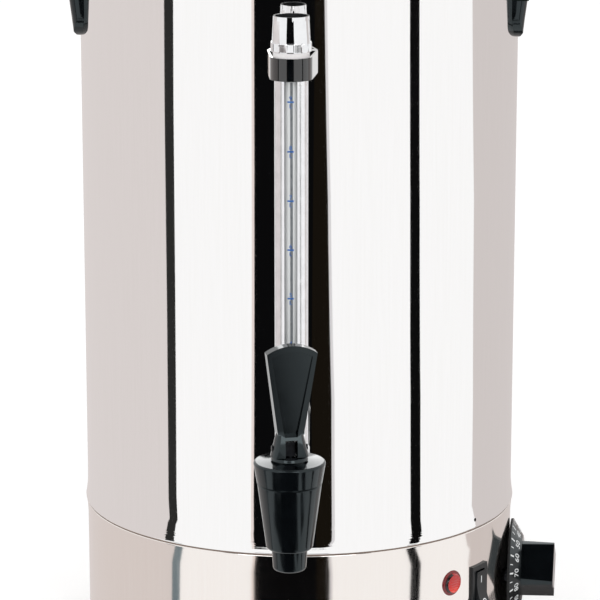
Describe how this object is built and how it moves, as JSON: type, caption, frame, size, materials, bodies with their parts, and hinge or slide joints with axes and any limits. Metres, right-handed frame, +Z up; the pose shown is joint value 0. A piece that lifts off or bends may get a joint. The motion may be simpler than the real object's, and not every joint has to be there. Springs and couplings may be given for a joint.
{
  "type": "hot water urn",
  "caption": "Electric hot water urn: double wall steel tank on a skirted base, lift-off lid, lever tap with sight gauge, bow handles, dial thermostat, rocker switch and pilot lamp.",
  "frame": {"origin": "on the urn's axis at the floor, in the plane of the rubber ring's underside", "axes": "+Z up along the urn's axis, -Y towards the tap at the front, +X to the right of someone who faces the tap"},
  "size_m": [0.32, 0.3154, 0.4465],
  "materials": {
    "polished_steel": "mirror polished stainless sheet",
    "plain_steel": "plain zinc plated or stainless",
    "aluminium": "as cast",
    "copper_tube": "bare drawn tube",
    "chrome": "bright chrome on brass",
    "black_gloss_plastic": "glossy moulded black",
    "black_matt_plastic": "fine satin black",
    "pale_plastic": "heat resistant cream moulding",
    "black_rubber": "matt black",
    "white_silicone": "milky white",
    "red_lens": "clear red moulding",
    "clear_glass": "clear drawn tube"
  },
  "bodies": {
    "urn": {"outer_shell": "polished_steel", "inner_tank": "polished_steel", "tank_floor": "polished_steel", "seam_gasket": "black_rubber", "base_skirt": "polished_steel", "base_ring": "black_matt_plastic", "non_slip_ring": "black_rubber", "bottom_cover": "plain_steel", "tie_stud": "plain_steel", "cover_washer": "plain_steel", "cover_nut": "plain_steel", "heat_plate": "aluminium", "heating_ring": "plain_steel", "clamp_plate": "plain_steel", "clamp_nut": "plain_steel", "thermal_cutout": "pale_plastic", "cutout_screws": "plain_steel", "thermostat_body": "pale_plastic", "thermostat_screws": "plain_steel", "thermostat_bulb": "copper_tube", "terminal_block": "pale_plastic", "terminal_screws": "plain_steel", "switch_housing": "black_matt_plastic", "pilot_lens": "red_lens", "pilot_body": "pale_plastic", "cord_gland": "black_matt_plastic", "gland_nut": "black_matt_plastic", "handle_left": "black_gloss_plastic", "handle_right": "black_gloss_plastic", "handle_screws": "plain_steel", "handle_washers": "plain_steel", "gauge_fitting": "chrome", "shank_seal": "black_rubber", "wall_spacer": "pale_plastic", "shank_washer": "black_rubber", "shank_nut": "chrome", "tap_body": "black_gloss_plastic", "tap_bonnet": "black_gloss_plastic", "gauge_glass": "clear_glass", "gauge_shield": "chrome", "gauge_seal": "white_silicone", "gauge_cap": "chrome", "gauge_clip": "black_gloss_plastic", "clip_screw": "plain_steel"},
    "lid": {"lid_dome": "polished_steel", "lid_collar": "polished_steel", "lid_knob": "black_gloss_plastic", "lid_knob_washer": "plain_steel", "lid_knob_screw": "plain_steel"},
    "valve": {"valve_stem": "plain_steel", "valve_cup": "white_silicone", "lever_pin": "plain_steel"},
    "lever": {"tap_lever": "black_gloss_plastic"},
    "knob": {"thermostat_knob": "black_gloss_plastic", "thermostat_shaft": "plain_steel"},
    "rocker": {"switch_rocker": "black_matt_plastic"}
  },
  "joints": [
    {"name": "lid_lift", "type": "slide", "parent": "urn", "child": "lid", "axis": [0, 0, 1], "range_m": [0, 0.08]},
    {"name": "valve_lift", "type": "slide", "parent": "urn", "child": "valve", "axis": [0, 0, 1], "range_m": [0, 0.00378]},
    {"name": "lever_tilt", "type": "hinge", "parent": "valve", "child": "lever", "pos_m": [0, -0.174, 0.1596], "axis": [0.9744, 0.225, 0], "range_deg": [0, 35], "stiffness_Nm_per_rad": 0.2, "springref_deg": -20.05},
    {"name": "thermostat_turn", "type": "hinge", "parent": "urn", "child": "knob", "pos_m": [0.11934, -0.01254, 0.044], "axis": [-0.9945, 0.1045, 0], "range_deg": [0, 176]},
    {"name": "switch_rock", "type": "hinge", "parent": "urn", "child": "rocker", "pos_m": [0.09737, -0.06396, 0.0487], "axis": [0.549, 0.8358, 0], "range_deg": [0, 20]}
  ],
  "couplings": [
    {"joint": "lever_tilt", "follows": "valve_lift", "rad_per_m": 161.29}
  ]
}
